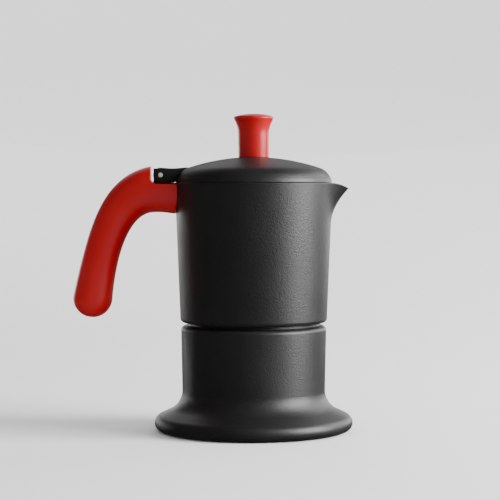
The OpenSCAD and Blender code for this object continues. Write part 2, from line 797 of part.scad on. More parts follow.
module knob_washer() {
    under = dome_top - lid_t - 0.2;
    color(steel) translate([0, 0, under - washer_t]) difference() {
        cylinder(r = washer_r, h = washer_t);
        translate([0, 0, -eps]) cylinder(r = screw_r + 0.2, h = washer_t + 2 * eps);
    }
}

module knob_screw() {
    head_top = dome_top - lid_t - 0.2 - washer_t;
    color(steel) translate([0, 0, head_top]) difference() {
        union() {
            translate([0, 0, -2.2]) cylinder(r = 3.7, h = 2.2);
            cylinder(r = screw_r - 0.2 - fit_gap, h = knob_screw_len - 1);
        }
        translate([-3, -0.5, -2.2 - eps]) cube([6, 1, 1.2 + eps]);
    }
}

boiler();
base_disc();
valve_body();
valve_seal();
valve_poppet();
valve_spring();
valve_cap();
funnel();
funnel_strainer();
gasket();
filter_plate();
collector();
riser_tube();
riser_cap();
handle_bracket();
bracket_rivets();
handle();
handle_screw();
hinge_pin();
lid();
knob();
knob_screw();
knob_washer();
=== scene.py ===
# %% [markdown]
# # A moka pot
# The frame holds the pot's exact sizes. This lesson dresses it: every visible piece is modelled again as a
# maker would shape it, and every surface gets its own finish. Sizes are in millimetres, and MM turns them
# into Blender's metres. The pot stands on Z = 0, the spout points to +X and the handle to -X.

import bmesh
import bpy
import math
from mathutils import Matrix, Vector


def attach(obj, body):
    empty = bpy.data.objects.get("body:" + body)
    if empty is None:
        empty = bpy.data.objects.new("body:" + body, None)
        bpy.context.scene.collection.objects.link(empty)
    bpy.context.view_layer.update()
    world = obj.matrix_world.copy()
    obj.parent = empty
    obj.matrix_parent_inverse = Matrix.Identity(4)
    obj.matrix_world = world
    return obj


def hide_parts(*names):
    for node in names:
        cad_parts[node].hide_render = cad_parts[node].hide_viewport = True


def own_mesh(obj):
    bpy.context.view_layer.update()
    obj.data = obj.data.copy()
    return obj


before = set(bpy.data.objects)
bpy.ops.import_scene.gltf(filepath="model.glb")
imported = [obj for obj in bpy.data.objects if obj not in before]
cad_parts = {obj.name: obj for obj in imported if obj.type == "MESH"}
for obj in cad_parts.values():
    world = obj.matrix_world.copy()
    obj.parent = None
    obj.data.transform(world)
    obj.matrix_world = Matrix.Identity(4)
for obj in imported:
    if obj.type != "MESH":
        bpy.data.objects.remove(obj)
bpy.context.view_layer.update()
MM = 0.001

# %% [markdown]
# ## Camera, floor and light
# The pot stands on a pale studio sweep. A sweep is a floor that curves up into a wall, so no horizon shows.
# Here it is one bowl, turned right round the pot, so that every side has the same calm background.
# A long lens from a metre away keeps the pot's walls nearly parallel.

# %% Camera
camera_data = bpy.data.cameras.new("studio_camera")
camera_data.sensor_width = 36
camera_data.lens = 130.2
camera_data.clip_start = 0.01
camera = bpy.data.objects.new("studio_camera", camera_data)
camera.location = (-0.0021, -1.0306, 0.1429)
camera.rotation_euler = (math.radians(90 - 2.217), 0, 0)
bpy.context.scene.collection.objects.link(camera)
bpy.context.scene.camera = camera
print("camera:", camera_data.lens, "mm lens")


# %% Start each piece with nothing selected
def begin():
    if bpy.context.object and bpy.context.object.mode != "OBJECT":
        bpy.ops.object.mode_set(mode="OBJECT")
    bpy.ops.object.select_all(action="DESELECT")


def settle(piece, name):
    """Names a piece and puts its place into its mesh, so that its object sits at the origin."""
    begin()
    piece.name = name
    piece.data.name = name
    piece.select_set(True)
    bpy.context.view_layer.objects.active = piece
    bpy.ops.object.transform_apply(location=True, rotation=True, scale=True)
    return piece


# %% [markdown]
# ## Turning a piece
# Most of the pot is round. A round piece starts as a circle, which is extruded and scaled from corner to
# corner of the piece's outline. Each corner's edge ring is then bevelled to that corner's own radius. That
# keeps walls truly straight between their corners, which a subdivided shape would not.


# %% A turned piece
def select_ring(mesh, r, z, slack=0.02):
    bpy.ops.mesh.select_all(action="DESELECT")
    edit = bmesh.from_edit_mesh(mesh)
    ring = [edge for edge in edit.edges if all(abs(v.co.xy.length / MM - r) < slack and
                                               abs(v.co.z / MM - z) < slack for v in edge.verts)]
    for edge in ring:
        edge.select_set(True)
    bmesh.update_edit_mesh(mesh)
    return len(ring)


def round_ring(mesh, before, corner, after, r):
    """Bevels one edge ring so that its section becomes an arc of radius r."""
    a, p, b = Vector(before), Vector(corner), Vector(after)
    bend = math.pi - (a - p).angle(b - p)
    if not select_ring(mesh, p.x, p.y):
        print("   no ring at", tuple(corner))
        return
    bpy.ops.mesh.bevel(offset=r * math.tan(bend / 2) * MM, offset_type="OFFSET", affect="EDGES",
                       segments=max(2, math.ceil(math.degrees(bend) / 9)), profile=0.5, clamp_overlap=False)


def turn(name, outline, around=160, closed=True, smooth=35, last_pole=True):
    """outline: corners (radius, height, rounding). closed joins the last corner to the first;
    otherwise each end is closed with a pole on the axis, the last one only if last_pole says so."""
    begin()
    r, z, _ = outline[0]
    bpy.ops.mesh.primitive_circle_add(vertices=around, radius=r * MM, location=(0, 0, z * MM))
    piece = settle(bpy.context.object, name)
    bpy.ops.object.mode_set(mode="EDIT")
    bpy.ops.mesh.select_all(action="SELECT")
    if not closed:
        bpy.ops.mesh.extrude_region_move(TRANSFORM_OT_translate={"value": (0, 0, 0)})
        bpy.ops.mesh.merge(type="CENTER")
        select_ring(piece.data, r, z)
    walk = list(outline) + ([outline[0]] if closed else [])
    for (ra, za, _), (rb, zb, _) in zip(walk, walk[1:]):
        bpy.ops.mesh.extrude_region_move(TRANSFORM_OT_translate={"value": (0, 0, (zb - za) * MM)})
        bpy.ops.transform.resize(value=(rb / ra, rb / ra, 1), center_override=(0, 0, zb * MM))
    if not closed and last_pole:
        bpy.ops.mesh.extrude_region_move(TRANSFORM_OT_translate={"value": (0, 0, 0)})
        bpy.ops.mesh.merge(type="CENTER")
    bpy.ops.mesh.select_all(action="SELECT")
    bpy.ops.mesh.remove_doubles(threshold=0.000004)
    n = len(outline)
    for i, (rc, zc, rounding) in enumerate(outline):
        if rounding:
            before = outline[i - 1][:2] if closed or i else (0, outline[0][1])
            after = outline[(i + 1) % n][:2] if closed or i < n - 1 else (0, outline[-1][1])
            round_ring(piece.data, before, (rc, zc), after, rounding)
    bpy.ops.mesh.select_all(action="SELECT")
    bpy.ops.mesh.normals_make_consistent(inside=False)
    begin()
    piece.select_set(True)
    bpy.context.view_layer.objects.active = piece
    bpy.ops.object.shade_smooth_by_angle(angle=math.radians(smooth))
    return piece


def flatten_walls(piece):
    """Gives each corner the normal of its largest face, so that long walls stay flat up to their rounding."""
    begin()
    piece.select_set(True)
    bpy.context.view_layer.objects.active = piece
    step = piece.modifiers.new("flat_walls", "WEIGHTED_NORMAL")
    step.mode = "FACE_AREA"
    step.weight = 100
    step.keep_sharp = True
    bpy.ops.object.modifier_apply(modifier=step.name)
    return piece


# %% Studio sweep
floor_r, bend_r = 700, 1900
sweep_outline = [(2, 0, 0), (floor_r, 0, 0)]
for i in range(1, 33):
    a = math.radians(90 * i / 32)
    sweep_outline.append((floor_r + bend_r * math.sin(a), bend_r * (1 - math.cos(a)), 0))
sweep_outline.append((floor_r + bend_r, bend_r + 700, 0))
sweep = turn("studio_sweep", sweep_outline, around=128, closed=False, smooth=60, last_pole=False)
begin()
sweep.select_set(True)
bpy.context.view_layer.objects.active = sweep
bpy.ops.object.mode_set(mode="EDIT")
bpy.ops.mesh.select_all(action="SELECT")
bpy.ops.mesh.flip_normals()
begin()
print("sweep:", len(sweep.data.polygons), "faces")

# %% [markdown]
# ## Finishes
# Each finish is a procedural material on object coordinates. What several finishes share, such as a fine
# grain, is a node group with named inputs. It is built once and placed in each material with its own values.


# %% A helper that wires nodes
def link(tree, source, target):
    tree.links.new(source, target)


def new_group(name, inputs, outputs):
    group = bpy.data.node_groups.new(name, "ShaderNodeTree")
    for label, kind, value in inputs:
        socket = group.interface.new_socket(label, in_out="INPUT", socket_type=kind)
        if value is not None:
            socket.default_value = value
    for label, kind in outputs:
        group.interface.new_socket(label, in_out="OUTPUT", socket_type=kind)
    entry = group.nodes.new("NodeGroupInput")
    leave = group.nodes.new("NodeGroupOutput")
    return group, entry, leave


def place(tree, kind, **values):
    node = tree.nodes.new(kind)
    for key, value in values.items():
        setattr(node, key, value)
    return node


def math_node(tree, operation, a, b=None):
    node = place(tree, "ShaderNodeMath", operation=operation)
    for socket, value in zip(node.inputs, (a, b)):
        if value is None:
            continue
        if isinstance(value, (int, float)):
            socket.default_value = value
        else:
            link(tree, value, socket)
    return node.outputs[0]


# %% [markdown]
# ### Fine grain
# A powder coat, a moulded plastic and a cast metal all carry a fine grain. Two noises of different size,
# added together, look less regular than one. The group gives the grain as a height and as a value.

# %% Grain group
grain, entry, leave = new_group(
    "fine_grain",
    [("Vector", "NodeSocketVector", None), ("Grain per metre", "NodeSocketFloat", 1600.0),
     ("Coarse share", "NodeSocketFloat", 0.35)],
    [("Height", "NodeSocketFloat"), ("Cloud", "NodeSocketFloat")])
fine = place(grain, "ShaderNodeTexNoise")
fine.inputs["Detail"].default_value = 2.0
link(grain, entry.outputs["Vector"], fine.inputs["Vector"])
link(grain, entry.outputs["Grain per metre"], fine.inputs["Scale"])
coarse = place(grain, "ShaderNodeTexNoise")
coarse.inputs["Detail"].default_value = 3.0
link(grain, entry.outputs["Vector"], coarse.inputs["Vector"])
link(grain, math_node(grain, "MULTIPLY", entry.outputs["Grain per metre"], 0.31), coarse.inputs["Scale"])
share = math_node(grain, "MULTIPLY", coarse.outputs["Fac"], entry.outputs["Coarse share"])
link(grain, math_node(grain, "ADD", fine.outputs["Fac"], share), leave.inputs["Height"])
cloud = place(grain, "ShaderNodeTexNoise")
cloud.inputs["Detail"].default_value = 4.0
cloud.inputs["Scale"].default_value = 38.0
link(grain, entry.outputs["Vector"], cloud.inputs["Vector"])
link(grain, cloud.outputs["Fac"], leave.inputs["Cloud"])
print("group:", grain.name)


# %% [markdown]
# ### Turning marks
# Bare aluminium that was turned on a lathe has fine rings round its axis. Noise that is read along the
# radius and the height only, and not round the axis, gives such rings.

# %% Turning group
turning, entry, leave = new_group(
    "turning_marks",
    [("Vector", "NodeSocketVector", None), ("Rings per metre", "NodeSocketFloat", 2200.0)],
    [("Height", "NodeSocketFloat")])
split = place(turning, "ShaderNodeSeparateXYZ")
link(turning, entry.outputs["Vector"], split.inputs[0])
square = math_node(turning, "ADD", math_node(turning, "MULTIPLY", split.outputs["X"], split.outputs["X"]),
                   math_node(turning, "MULTIPLY", split.outputs["Y"], split.outputs["Y"]))
radius = math_node(turning, "SQRT", square)
ring = place(turning, "ShaderNodeCombineXYZ")
link(turning, radius, ring.inputs["X"])
link(turning, split.outputs["Z"], ring.inputs["Z"])
marks = place(turning, "ShaderNodeTexNoise")
marks.inputs["Detail"].default_value = 3.0
link(turning, ring.outputs[0], marks.inputs["Vector"])
link(turning, entry.outputs["Rings per metre"], marks.inputs["Scale"])
link(turning, marks.outputs["Fac"], leave.inputs["Height"])
print("group:", turning.name)


# %% A material with grain, ready to be tuned
def finish_with_grain(name, colour, light, rough, rough_swing, grain_per_m, bump, metallic=0.0,
                      coarse_share=0.35, rings=None, ring_bump=0.0):
    """A Principled material. Its colour drifts from colour to light, its roughness by rough_swing."""
    material = bpy.data.materials.new(name)
    material.use_nodes = True
    tree = material.node_tree
    shader = tree.nodes["Principled BSDF"]
    shader.inputs["Metallic"].default_value = metallic
    where = place(tree, "ShaderNodeTexCoord")
    group = place(tree, "ShaderNodeGroup", node_tree=grain)
    group.inputs["Grain per metre"].default_value = grain_per_m
    group.inputs["Coarse share"].default_value = coarse_share
    link(tree, where.outputs["Object"], group.inputs["Vector"])
    tint = place(tree, "ShaderNodeMix", data_type="RGBA")
    tint.inputs["A"].default_value = (*colour, 1)
    tint.inputs["B"].default_value = (*light, 1)
    link(tree, group.outputs["Cloud"], tint.inputs["Factor"])
    link(tree, tint.outputs["Result"], shader.inputs["Base Color"])
    spread = place(tree, "ShaderNodeMapRange")
    spread.inputs["From Min"].default_value = 0.35
    spread.inputs["From Max"].default_value = 0.65
    spread.inputs["To Min"].default_value = rough - rough_swing
    spread.inputs["To Max"].default_value = rough + rough_swing
    link(tree, group.outputs["Cloud"], spread.inputs["Value"])
    link(tree, spread.outputs["Result"], shader.inputs["Roughness"])
    dent = place(tree, "ShaderNodeBump")
    dent.inputs["Strength"].default_value = 1.0
    dent.inputs["Distance"].default_value = bump
    link(tree, group.outputs["Height"], dent.inputs["Height"])
    if rings:
        turned = place(tree, "ShaderNodeGroup", node_tree=turning)
        turned.inputs["Rings per metre"].default_value = rings
        link(tree, where.outputs["Object"], turned.inputs["Vector"])
        groove = place(tree, "ShaderNodeBump")
        groove.inputs["Distance"].default_value = ring_bump
        link(tree, turned.outputs["Height"], groove.inputs["Height"])
        link(tree, dent.outputs["Normal"], groove.inputs["Normal"])
        link(tree, groove.outputs["Normal"], shader.inputs["Normal"])
    else:
        link(tree, dent.outputs["Normal"], shader.inputs["Normal"])
    return material


# %% [markdown]
# ### The pot's finishes
# The outside has a satin black coat, dark but not pure black, with a powdery grain that breaks up its
# highlights. The grips are red heat-resistant plastic. Inside, the metal is bare.

# %% Materials
black_coat = finish_with_grain("black_coat", (0.006, 0.006, 0.0062), (0.009, 0.009, 0.0092),
                               0.43, 0.03, 1700, 0.00014, coarse_share=0.5)
black_coat.node_tree.nodes["Principled BSDF"].inputs["Specular IOR Level"].default_value = 0.5
red_grip = finish_with_grain("red_grip", (0.275, 0.0002, 0.0018), (0.305, 0.0003, 0.0026),
                             0.34, 0.03, 1500, 0.000012)
red_grip.node_tree.nodes["Principled BSDF"].inputs["Specular IOR Level"].default_value = 0.3
bare_metal = finish_with_grain("bare_aluminium", (0.66, 0.66, 0.67), (0.74, 0.74, 0.74),
                               0.36, 0.05, 900, 0.00002, metallic=1.0, rings=1800, ring_bump=0.00002)
cast_metal = finish_with_grain("cast_aluminium", (0.52, 0.52, 0.53), (0.62, 0.62, 0.62),
                               0.46, 0.06, 1100, 0.00005, metallic=1.0)
bright_steel = finish_with_grain("bright_steel", (0.62, 0.62, 0.63), (0.70, 0.70, 0.70),
                                 0.24, 0.05, 1200, 0.000005, metallic=1.0)
pin_metal = finish_with_grain("pin_aluminium", (0.42, 0.41, 0.36), (0.50, 0.49, 0.44),
                              0.5, 0.05, 1200, 0.00001, metallic=0.3)
brass = finish_with_grain("valve_brass", (0.62, 0.42, 0.15), (0.72, 0.52, 0.22),
                          0.28, 0.06, 1200, 0.00001, metallic=1.0)
silicone = finish_with_grain("seal_silicone", (0.74, 0.71, 0.62), (0.80, 0.78, 0.70),
                             0.62, 0.05, 700, 0.00002)
sweep_paper = finish_with_grain("sweep_paper", (0.72, 0.72, 0.72), (0.735, 0.735, 0.735),
                                0.85, 0.02, 400, 0.00001)
sweep.data.materials.append(sweep_paper)
print("materials:", len([m for m in bpy.data.materials if m.use_nodes]))

# %% [markdown]
# ### Light
# One large soft panel stands to the right and a little forward. It draws the broad pale band down the
# right of each black wall. A small panel beside it lights matt surfaces only, and throws the soft shadow
# to the left. Weaker panels left, right and behind draw the thin lines along the pot's edges, and one
# lights the back wall. The world gives an even grey, but far less of it is seen in reflections, so that
# the black coat stays dark.


# %% Panels of light
def panel(name, place_at, size, power, aim=(0, 0, 0.08)):
    data = bpy.data.lights.new(name, "AREA")
    data.shape = "RECTANGLE"
    data.size, data.size_y = size
    data.energy = power
    lamp = bpy.data.objects.new(name, data)
    lamp.location = place_at
    lamp.visible_camera = False
    lamp.rotation_mode = "QUATERNION"
    lamp.rotation_quaternion = (Vector(aim) - Vector(place_at)).to_track_quat("-Z", "Y")
    bpy.context.scene.collection.objects.link(lamp)
    return lamp


panel("key_panel", (1.21, -0.32, 0.5), (0.9, 0.9), 61)
floor_panel = panel("floor_panel", (1.35, -0.12, 0.6), (0.4, 0.4), 20)
floor_panel.visible_glossy = False
panel("right_back_panel", (0.95, 0.85, 0.5), (0.5, 0.8), 7)
panel("left_panel", (-0.92, 0.95, -0.02), (0.3, 0.5), 2)
panel("back_panel", (0.0, 1.25, 0.95), (1.8, 0.7), 4)
panel("wall_panel", (0.0, 1.0, 1.7), (2.0, 0.4), 22, aim=(0, 2.6, 0.6))
edge_panel = panel("edge_panel", (0.0, 1.5, 0.16), (2.6, 0.3), 9)
edge_panel.visible_diffuse = False
sweep.visible_glossy = False
world = bpy.data.worlds.new("studio_air")
world.use_nodes = True
air = world.node_tree.nodes["Background"]
path = world.node_tree.nodes.new("ShaderNodeLightPath")
level = world.node_tree.nodes.new("ShaderNodeMapRange")
level.inputs["To Min"].default_value = 0.80
level.inputs["To Max"].default_value = 0.06
world.node_tree.links.new(path.outputs["Is Glossy Ray"], level.inputs["Value"])
world.node_tree.links.new(level.outputs["Result"], air.inputs["Strength"])
air.inputs["Color"].default_value = (1, 1, 1, 1)
bpy.context.scene.world = world

# %% Finish, body and size of a piece
def paint(piece, *materials):
    piece.data.materials.clear()
    for material in materials:
        piece.data.materials.append(material)


def paint_where(piece, slot_number, test):
    """Gives a face another material slot if the test passes. The test gets the face's radius and height,
    how far its normal points away from the axis, and how far it points up."""
    count = 0
    for face in piece.data.polygons:
        c = face.center / MM
        away = face.normal.xy.dot(face.center.xy.normalized()) if c.xy.length > 0.01 else 0
        if test(c.xy.length, c.z, away, face.normal.z):
            face.material_index = slot_number
            count += 1
    return count


def belongs(piece, body, node):
    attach(piece, body)
    if node:
        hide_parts(*([node] if isinstance(node, str) else node))
    return piece


def told(piece):
    low = [round(min(v.co[i] for v in piece.data.vertices) / MM, 2) for i in range(3)]
    high = [round(max(v.co[i] for v in piece.data.vertices) / MM, 2) for i in range(3)]
    print(f"{piece.name}: {len(piece.data.polygons)} faces, from {low} to {high} mm")


# %% [markdown]
# ## Boiler
# The lower chamber is one aluminium casting: a nearly straight wall that sweeps out into a wide foot.
# It is modelled as a shell with its real wall, because the inside shows when the pot is taken apart.
# The neck carries a screw thread. The Screw modifier winds a small tooth section into the thread.

# %% Boiler shell
waist_r, shoulder_r, shoulder_z, neck_top = 40.6, 41.45, 60.0, 71.0
core_r, neck_in_r, disc_r = 36.75, 33.55, 48.0
boiler = turn("boiler_shell", [
    (55.4, 0.4, 3.8), (57.75, 7.2, 4.9), (waist_r, 15.3, 11.9), (shoulder_r, shoulder_z, 2.4),
    (core_r, shoulder_z, 0.6), (core_r, 64.0, 0), (core_r, neck_top, 0.8), (neck_in_r, neck_top, 0.5),
    (neck_in_r, 57, 1),
    (38.65, 57, 2), (37.8, 13.1, 8.9), (46.5, 9.0, 1.5), (46.5, 4.5, 0), (disc_r + 0.1, 4.5, 0),
    (disc_r + 0.1, 0.4, 0.4)], around=192)
paint(boiler, black_coat, bare_metal)
bare = paint_where(boiler, 1, lambda r, z, away, up: z > 64.0 or (r < 48.2 and z < 4.6) or (
    r < 48.4 and 4.0 < z < 60 and (away < -0.03 or up < -0.5)))
print("boiler: bare faces", bare)
flatten_walls(boiler)
told(boiler)
belongs(boiler, "boiler_body", "boiler")


# %% The thread
def thread(name, foot_r, crest_r, z0, turns, pitch, start=0.0, steps=48):
    """Winds a four-cornered tooth round the axis and sinks both its ends into the wall."""
    begin()
    bpy.ops.mesh.primitive_circle_add(vertices=4, radius=MM)
    piece = bpy.context.object
    tooth = [(foot_r, -0.36 * pitch), (crest_r, -0.13 * pitch), (crest_r, 0.13 * pitch), (foot_r, 0.36 * pitch)]
    for v, (r, z) in zip(piece.data.vertices, tooth):
        v.co = (r * MM, 0, (z0 + z) * MM)
    winding = piece.modifiers.new("winding", "SCREW")
    winding.angle = math.tau * turns
    winding.screw_offset = pitch * turns * MM
    winding.steps = winding.render_steps = int(steps * turns)
    winding.use_merge_vertices = False
    bpy.ops.object.modifier_apply(modifier=winding.name)
    rings = int(steps * turns)
    for v in piece.data.vertices:
        angle = math.atan2(v.co.y, v.co.x)
        near = min(1.0, max(0.0, min(v.co.z / MM - z0 + 0.36 * pitch,
                                     z0 + pitch * turns + 0.36 * pitch - v.co.z / MM) / (0.6 * pitch)))
        r = v.co.xy.length
        if abs(r / MM - crest_r) < 0.01:
            r = (foot_r + (crest_r - foot_r) * near) * MM
            v.co.xy = Vector((math.cos(angle), math.sin(angle))) * r
    bpy.ops.object.mode_set(mode="EDIT")
    bpy.ops.mesh.select_all(action="SELECT")
    bpy.ops.mesh.fill_holes(sides=4)
    bpy.ops.mesh.normals_make_consistent(inside=False)
    settle(piece, name)
    bpy.ops.object.shade_smooth_by_angle(angle=math.radians(30))
    return piece


neck_thread = thread("neck_thread", core_r - 0.3, 37.7, 62.2 + 0.3, 2.25, 3.0)
paint(neck_thread, bare_metal)
told(neck_thread)
belongs(neck_thread, "boiler_body", None)

# %% [markdown]
# ## Base disc
# The foot is closed by a thick disc of bare aluminium that spreads the heat. Its underside is faced on a
# lathe, which leaves shallow rings, and the outermost ring is the one that meets the hob.

# %% Base disc
rings_under = []
for r in (6, 12, 18, 24, 30, 36, 42):
    rings_under += [(r - 0.9, 0.35, 0), (r - 0.3, 0.0, 0), (r + 2.6, 0.0, 0), (r + 3.2, 0.35, 0)]
disc_edge = [(46.2, 0.0, 0), (disc_r, 0.0, 0.5), (disc_r, 4.45, 0), (2, 4.45, 0)]
base_disc = turn("heat_disc", [(2, 0.35, 0)] + rings_under[:-2] + disc_edge, closed=False)
paint(base_disc, bare_metal)
told(base_disc)
belongs(base_disc, "boiler_body", "base_disc")

# %% [markdown]
# ## Collector
# The upper chamber is a cup that widens towards its rim. Its spout is not a separate piece: the rim is
# pulled out and a little down over a narrow angle, and the pull dies away down the wall. So the cup is
# turned first, with rows to spare near the rim, and its points are then pulled.

# %% Collector shell
skirt_z, rim_z, skirt_r, rim_r = 62.0, 141.5, 41.75, 45.0
cup_wall, groove_r, seal_r = 2.4, 38.95, 36.45
spout_h, spout_reach, spout_dip, spout_half = 23.5, 9.3, 3.2, 30.0


def wall_r(z):
    return skirt_r + (rim_r - skirt_r) * (z - skirt_z) / (rim_z - skirt_z)


rows = [rim_z - spout_h + spout_h * i / 16 for i in range(16)]
outside = [(skirt_r, skirt_z, 2.2)] + [(wall_r(z), z, 0) for z in rows] + [(rim_r, rim_z, 0.6)]
inside = [(rim_r - cup_wall, rim_z, 0.6)] + [(wall_r(z) - cup_wall, z, 0) for z in reversed(rows)]
below = [(wall_r(82.1) - cup_wall, 82.1, 5), (10.5, 82.1, 1.5), (9.0, 86.6, 0.8), (5.6, 86.6, 0),
         (5.6, 81.9, 0), (30.95, 79.5, 1.2), (30.95, 76.1, 0.3), (seal_r, 76.1, 0.4), (seal_r, 71.6, 0),
         (groove_r, 71.0, 0), (groove_r, skirt_z, 0.5)]
collector = turn("collector_cup", outside + inside + below, around=288)


# %% Pull the spout
def spout_share(angle):
    return math.cos(math.pi / 2 * min(1, abs(angle) / spout_half)) ** 3


moved = 0
for v in collector.data.vertices:
    r, z = v.co.xy.length / MM, v.co.z / MM
    angle = math.degrees(math.atan2(v.co.y, v.co.x))
    share, t = spout_share(angle), (z - rim_z + spout_h) / spout_h
    if t > 0 and r > 38 and share > 0:
        t = min(1, t)
        reach = r + spout_reach * share * t * t
        v.co.xy = v.co.xy.normalized() * reach * MM
        v.co.z = (z - spout_dip * share * share * t) * MM
        moved += 1
paint(collector, black_coat, cast_metal, bare_metal)
inner = paint_where(collector, 1, lambda r, z, away, up: z > 77 and (
    away < -0.08 or (up > 0.3 and z < 100) or r < 31.5) and not (z > rim_z - 3.9 and up > 0.45))
threaded = paint_where(collector, 2, lambda r, z, away, up: z < 79.6 and r < 39.3 and z > 62.6)
print("spout: points pulled", moved, "bare faces", inner, threaded)
flatten_walls(collector)
told(collector)
belongs(collector, "upper_chamber", "collector")

# %% Thread inside the skirt
skirt_thread = thread("skirt_thread", groove_r + 0.3, 38.0, 62.2 + 1.9, 2.0, 3.0)
paint(skirt_thread, bare_metal)
told(skirt_thread)
belongs(skirt_thread, "upper_chamber", None)

# %% [markdown]
# ## Lid
# The lid is a shallow dome with a rounded edge. Two arcs make its section: a wide one for the dome and a
# narrow one for the edge, and where they meet their slopes agree. The inner skin is the same section,
# moved in by the lid's thickness, and a short skirt under the edge keeps the lid centred on the rim.

# %% Lid dome
lid_r, lid_z, dome_top, dome_R, edge_R, lid_t = 44.5, 141.51, 156.0, 118.0, 10.0, 1.8
edge_cx = lid_r - edge_R
dome_cz = dome_top - dome_R
edge_cz = dome_cz + math.sqrt((dome_R - edge_R) ** 2 - edge_cx ** 2)
lean = math.asin(edge_cx / (dome_R - edge_R))


def dome_arc(t, first_r, low_z):
    """Section of the dome, inset by t, from radius first_r out to the height low_z."""
    points = []
    start = math.asin(first_r / (dome_R - t))
    for i in range(15):
        a = start + (lean - start) * i / 14
        points.append(((dome_R - t) * math.sin(a), dome_cz + (dome_R - t) * math.cos(a), 0))
    low = math.asin((low_z - edge_cz) / (edge_R - t))
    for i in range(1, 13):
        a = math.pi / 2 - lean + (low - math.pi / 2 + lean) * i / 12
        points.append((edge_cx + (edge_R - t) * math.cos(a), edge_cz + (edge_R - t) * math.sin(a), 0))
    return points


band_z = 144.1                                               # above it the edge steps in a little
outer_arc = dome_arc(0, 2.2, band_z)
step_in = outer_arc[-1][0]
outer_arc += [(step_in + 0.28, band_z - 0.12, 0.2), (lid_r + 0.12, lid_z, 0.35)]
inner_arc = dome_arc(lid_t, 2.2, lid_z)
inner_arc[-1] = (*inner_arc[-1][:2], 0.2)
lid = turn("lid_dome", outer_arc + inner_arc[::-1], around=288, smooth=40)
told(lid)

# %% Skirt under the lid, open over the spout
begin()
bpy.ops.mesh.primitive_circle_add(vertices=4, radius=MM)
lid_skirt = bpy.context.object
gap_half = math.radians(31)
for v, (r, z) in zip(lid_skirt.data.vertices, [(41.8, 138.7), (41.8, 142.5), (40.4, 142.5), (40.4, 138.7)]):
    v.co = (r * math.cos(gap_half) * MM, r * math.sin(gap_half) * MM, z * MM)
sweep_round = lid_skirt.modifiers.new("round", "SCREW")
sweep_round.angle = math.tau - 2 * gap_half
sweep_round.screw_offset = 0
sweep_round.steps = sweep_round.render_steps = 150
bpy.ops.object.modifier_apply(modifier=sweep_round.name)
bpy.ops.object.mode_set(mode="EDIT")
bpy.ops.mesh.select_all(action="SELECT")
bpy.ops.mesh.fill_holes(sides=4)
bpy.ops.mesh.normals_make_consistent(inside=False)
settle(lid_skirt, "lid_skirt")
bpy.ops.object.shade_smooth_by_angle(angle=math.radians(30))
paint(lid_skirt, cast_metal)
told(lid_skirt)
belongs(lid_skirt, "lid_group", None)

# %% [markdown]
# ## Hinge arm
# The lid is cast with an arm that ends in two ears. They stand either side of a fixed lug, and a steel pin
# runs through all three. The arm is drawn as a side view, given its width, and slotted for the lug.


# %% A slab from a side view
def slab(name, side_view, half_width):
    """side_view: (x, z) corners in order. The slab runs from -half_width to half_width in Y."""
    begin()
    bpy.ops.mesh.primitive_circle_add(vertices=len(side_view), radius=MM, fill_type="NGON")
    piece = bpy.context.object
    for v, (x, z) in zip(piece.data.vertices, side_view):
        v.co = (x * MM, -half_width * MM, z * MM)
    bpy.ops.object.mode_set(mode="EDIT")
    bpy.ops.mesh.select_all(action="SELECT")
    bpy.ops.mesh.extrude_region_move(TRANSFORM_OT_translate={"value": (0, 2 * half_width * MM, 0)})
    bpy.ops.mesh.select_all(action="SELECT")
    bpy.ops.mesh.normals_make_consistent(inside=False)
    return settle(piece, name)


def block(name, low, high):
    begin()
    bpy.ops.mesh.primitive_cube_add(size=1, location=[(a + b) / 2 * MM for a, b in zip(low, high)],
                                    scale=[(b - a) * MM for a, b in zip(low, high)])
    return settle(bpy.context.object, name)


def combine(piece, tool, operation):
    """Cuts the tool from the piece, or joins it on, applies the result and removes the tool."""
    begin()
    piece.select_set(True)
    bpy.context.view_layer.objects.active = piece
    step = piece.modifiers.new("combine", "BOOLEAN")
    step.operation = operation
    step.solver = "EXACT"
    step.object = tool
    bpy.ops.object.modifier_apply(modifier=step.name)
    bpy.data.objects.remove(tool)
    return piece


def soften(piece, width, segments=3, angle=35, smooth=40):
    """Rounds every edge that is sharper than the angle, and shades the piece smooth."""
    begin()
    piece.select_set(True)
    bpy.context.view_layer.objects.active = piece
    step = piece.modifiers.new("soften", "BEVEL")
    step.width = width * MM
    step.segments = segments
    step.limit_method = "ANGLE"
    step.angle_limit = math.radians(angle)
    step.harden_normals = False
    bpy.ops.object.modifier_apply(modifier=step.name)
    bpy.ops.object.shade_smooth_by_angle(angle=math.radians(smooth))
    return piece


# %% Arm with its ears
pin_x, pin_z, ear_r, lug_half, ear_t = -52.8, 145.7, 4.25, 3.0, 2.3
ear_in, ear_out = lug_half + 0.2, lug_half + 0.2 + ear_t
view = []
for i in range(13):
    a = math.radians(270 - 180 * i / 12 + 10 * (i / 12))
    view.append((pin_x + ear_r * math.cos(a), pin_z + ear_r * math.sin(a)))
view += [(-50.2, 149.75), (-48.2, 149.55), (-46, 149.5), (-43.5, 149.6), (-40.5, 149.9), (-37.5, 150.1),
         (-35.5, 148.8), (-36, 143.5), (-44.4, 142.0), (-45.6, 141.4)]
arm = slab("hinge_arm", view, ear_out)
combine(arm, block("slot_tool", (-60, -ear_in, 138), (-45.3, ear_in, 153)), "DIFFERENCE")
inner_tool = turn("inner_tool", [(0.5, dome_top - lid_t - 0.2, 0)] + dome_arc(lid_t + 0.2, 1.0, lid_z)[:-1]
                  + [(lid_r - lid_t - 0.2, lid_z - 0.5, 0), (0.5, lid_z - 0.5, 0)], closed=False, around=96)
combine(arm, inner_tool, "DIFFERENCE")
arm_low = lid_z + 0.05
rim_tool = turn("rim_tool", [(1, 120, 0), (rim_r + 0.5, 120, 0), (rim_r + 0.5, arm_low, 0), (1, arm_low, 0)],
                closed=False, around=96)
combine(arm, rim_tool, "DIFFERENCE")
soften(arm, 0.45)
